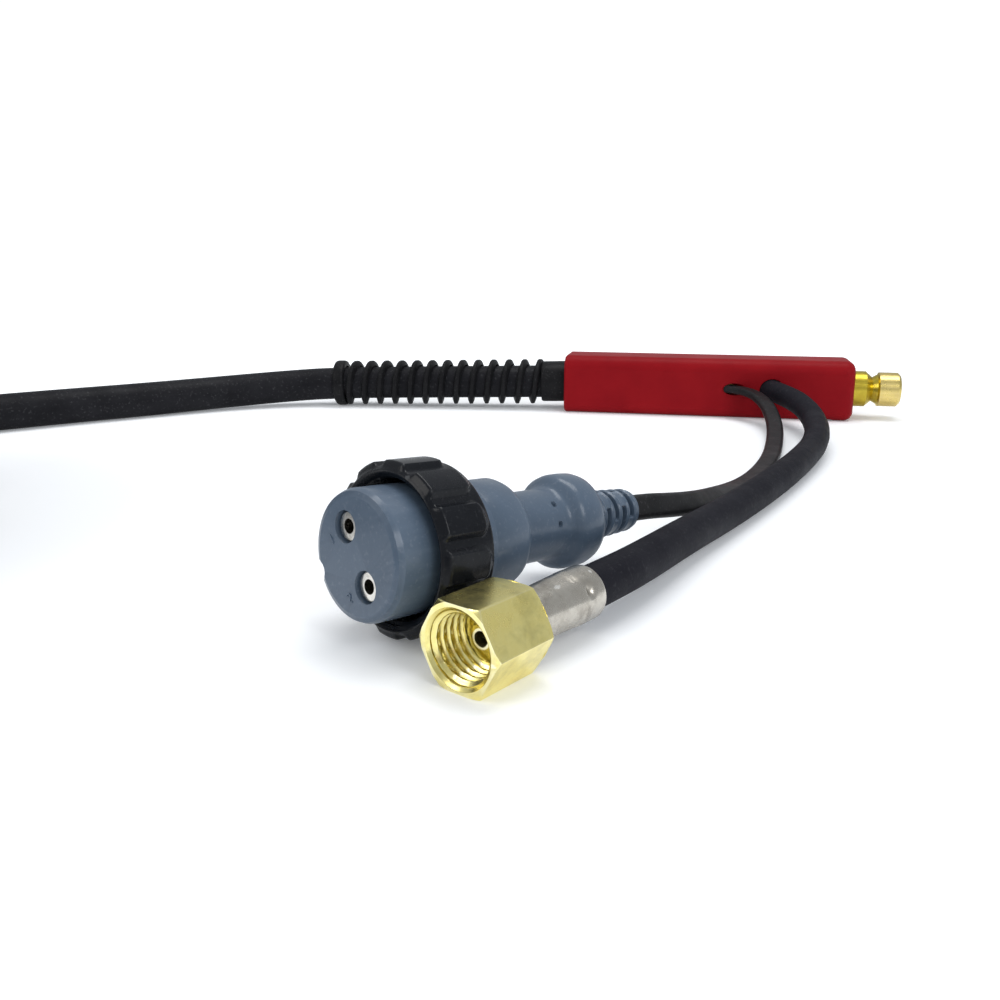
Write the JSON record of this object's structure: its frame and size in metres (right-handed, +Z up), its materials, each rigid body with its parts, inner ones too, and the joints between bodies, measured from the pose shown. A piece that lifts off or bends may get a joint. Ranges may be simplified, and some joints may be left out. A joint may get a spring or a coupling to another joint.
{
  "type": "tig torch",
  "caption": "Gas-cooled TIG torch with ceramic cup and trigger handle, coiled lead, bayonet power plug housing, gas hose with union nut and two-pin control plug.",
  "frame": {"origin": "centre of the connector housing's flat underside, on the floor the set lies on", "axes": "+X along the housing to the power plug, +Z up, -Y towards the gas and control connectors"},
  "size_m": [0.4114, 0.4322, 0.0554],
  "materials": {
    "red_housing": "satin",
    "black_rubber": "satin",
    "guard_black": "satin",
    "hose_rubber": "matte",
    "bright_brass": "polished",
    "aged_brass": "satin",
    "nickel": "brushed",
    "plug_grey": "satin",
    "ring_black": "satin",
    "contact_silver": "satin",
    "screw_steel": "zinc plated",
    "copper": "satin",
    "braid_copper": "bare",
    "handle_black": "matte",
    "trigger_red": "satin",
    "ceramic_pink": "matte",
    "white_insulator": "matte",
    "tungsten_grey": "ground",
    "spring_steel": "bright",
    "tie_fabric": "woven",
    "seal_orange": "matte"
  },
  "bodies": {
    "torch_set": {"bend_relief": "guard_black", "coil_ties": "tie_fabric", "collet": "copper", "collet_body": "copper", "control_cable": "black_rubber", "control_lead_inner": "black_rubber", "crimp_sleeve": "aged_brass", "cup_gasket": "white_insulator", "gas_barb": "aged_brass", "gas_ferrule": "nickel", "gas_hose": "hose_rubber", "gas_nipple": "bright_brass", "handle_boot": "handle_black", "handle_cable_nut": "aged_brass", "handle_lower": "handle_black", "handle_screws": "screw_steel", "handle_upper": "handle_black", "head_body": "copper", "head_cover": "handle_black", "housing_lower": "red_housing", "housing_screws": "screw_steel", "housing_upper": "red_housing", "main_cable_coil": "black_rubber", "main_cable_run": "black_rubber", "main_cable_tail": "black_rubber", "plug_body": "plug_grey", "plug_contacts": "contact_silver", "plug_insert": "plug_grey", "power_adapter": "aged_brass", "power_conductor": "braid_copper", "power_plug": "aged_brass", "torch_stem": "copper", "trigger_spring": "spring_steel", "trigger_switch": "white_insulator"},
    "coupling_ring": {"coupling_ring": "ring_black"},
    "gas_nut": {"gas_nut": "bright_brass"},
    "trigger": {"trigger": "trigger_red"},
    "ceramic_cup": {"ceramic_cup": "ceramic_pink"},
    "back_cap": {"back_cap": "handle_black", "back_cap_seal": "seal_orange"},
    "tungsten": {"tungsten": "tungsten_grey"}
  },
  "joints": [
    {"name": "ring_spin", "type": "hinge", "parent": "torch_set", "child": "coupling_ring", "pos_m": [-0.04688, -0.24417, 0.01528], "axis": [0.543, 0.8361, -0.0785], "continuous": true},
    {"name": "nut_spin", "type": "hinge", "parent": "torch_set", "child": "gas_nut", "pos_m": [-0.02872, -0.25614, 0.007], "axis": [0.4617, 0.887, 0], "continuous": true},
    {"name": "trigger_press", "type": "slide", "parent": "torch_set", "child": "trigger", "axis": [0, -1, 0], "range_m": [0, 0.0018], "stiffness_N_per_m": 900, "deforming": ["trigger_spring"]},
    {"name": "cup_unscrew", "type": "hinge", "parent": "torch_set", "child": "ceramic_cup", "pos_m": [-0.0745, -0.36, 0.014], "axis": [0.342, -0.9397, 0], "range_deg": [0, 180]},
    {"name": "cap_unscrew", "type": "hinge", "parent": "torch_set", "child": "back_cap", "pos_m": [-0.0745, -0.36, 0.014], "axis": [0.342, -0.9397, 0], "range_deg": [0, 180]},
    {"name": "tungsten_slide", "type": "slide", "parent": "torch_set", "child": "tungsten", "axis": [0.342, -0.9397, 0], "range_m": [-0.004, 0.008]}
  ]
}
